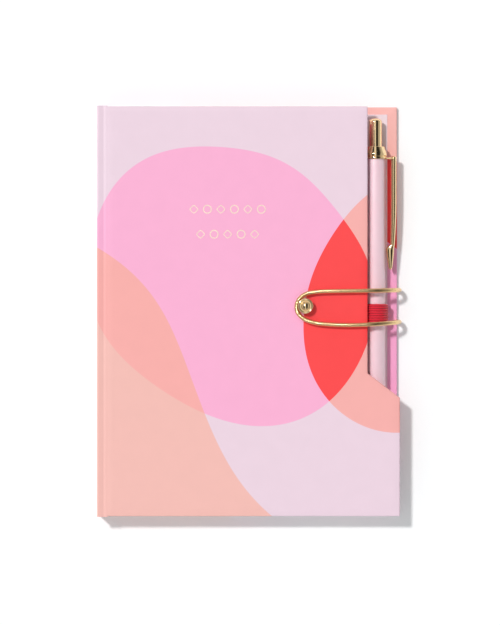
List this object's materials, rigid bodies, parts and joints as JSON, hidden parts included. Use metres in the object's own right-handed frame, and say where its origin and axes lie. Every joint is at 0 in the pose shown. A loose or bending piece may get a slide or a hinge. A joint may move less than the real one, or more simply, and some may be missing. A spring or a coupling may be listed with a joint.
{
  "type": "sticky note pad",
  "caption": "Hard-cover sticky note booklet with a stepped front cover, a clipped pen in an elastic loop and a cord closure hooked round a stud.",
  "frame": {"origin": "middle of the back cover's underside, on which the booklet lies", "axes": "+X from the spine to the fore-edge, +Y from the tail to the head, +Z from the back cover to the front cover"},
  "size_m": [0.1222, 0.164, 0.0184],
  "materials": {
    "grey_board": "grey board, cut edges",
    "cover_paper": "printed paper with a soft matt laminate",
    "lining_paper": "uncoated paper",
    "gold_metal": "pale gold plate, polished",
    "gold_cord": "elastic cord wound with metallic gold thread",
    "red_elastic": "ribbed woven elastic",
    "pen_plastic": "glossy lacquer",
    "white_plastic": "moulded plastic",
    "refill_plastic": "drawn plastic tube with ink",
    "nickel": "nickel plated",
    "spring_steel": "drawn wire",
    "white_card": "white card",
    "pink_notes": "stacked note paper",
    "coral_notes": "stacked note paper",
    "lilac_notes": "stacked note paper",
    "red_notes": "stacked note paper",
    "white_notes": "stacked note paper"
  },
  "bodies": {
    "back_cover": {"back_board": "grey_board", "back_cover_paper": "cover_paper", "back_lining": "lining_paper", "closure_cord": "gold_cord", "pen_loop": "red_elastic", "pen_barrel": "pen_plastic", "pen_collar": "gold_metal", "pen_clip": "gold_metal", "pen_nose": "gold_metal", "pen_spring": "spring_steel", "pad_card": "white_card", "large_note_pad": "pink_notes", "left_note_pad": "coral_notes", "right_note_pad": "lilac_notes", "page_flag_pad_1": "red_notes", "page_flag_pad_2": "coral_notes", "page_flag_pad_3": "pink_notes", "page_flag_pad_4": "lilac_notes", "page_flag_pad_5": "white_notes"},
    "spine": {"spine_board": "grey_board", "spine_paper": "cover_paper", "spine_lining": "lining_paper"},
    "front_cover": {"front_board": "grey_board", "front_cover_paper": "cover_paper", "front_lining": "lining_paper", "closure_stud": "gold_metal", "stud_washer": "gold_metal"},
    "push_button": {"pen_push_button": "gold_metal", "pen_thruster": "white_plastic", "refill_tube": "refill_plastic", "refill_tip": "nickel"}
  },
  "joints": [
    {"name": "spine_hinge", "type": "hinge", "parent": "back_cover", "child": "spine", "pos_m": [-0.06015, 0, 0], "axis": [0, -1, 0], "range_deg": [0, 90], "deforming": ["closure_cord"]},
    {"name": "cover_hinge", "type": "hinge", "parent": "spine", "child": "front_cover", "pos_m": [-0.06015, 0, 0.0138], "axis": [0, -1, 0], "range_deg": [0, 90], "deforming": ["closure_cord"]},
    {"name": "pen_click", "type": "slide", "parent": "back_cover", "child": "push_button", "axis": [0, -1, 0], "range_m": [0, 0.004], "stiffness_N_per_m": 150, "springref_m": -0.004, "deforming": ["pen_spring"]}
  ]
}
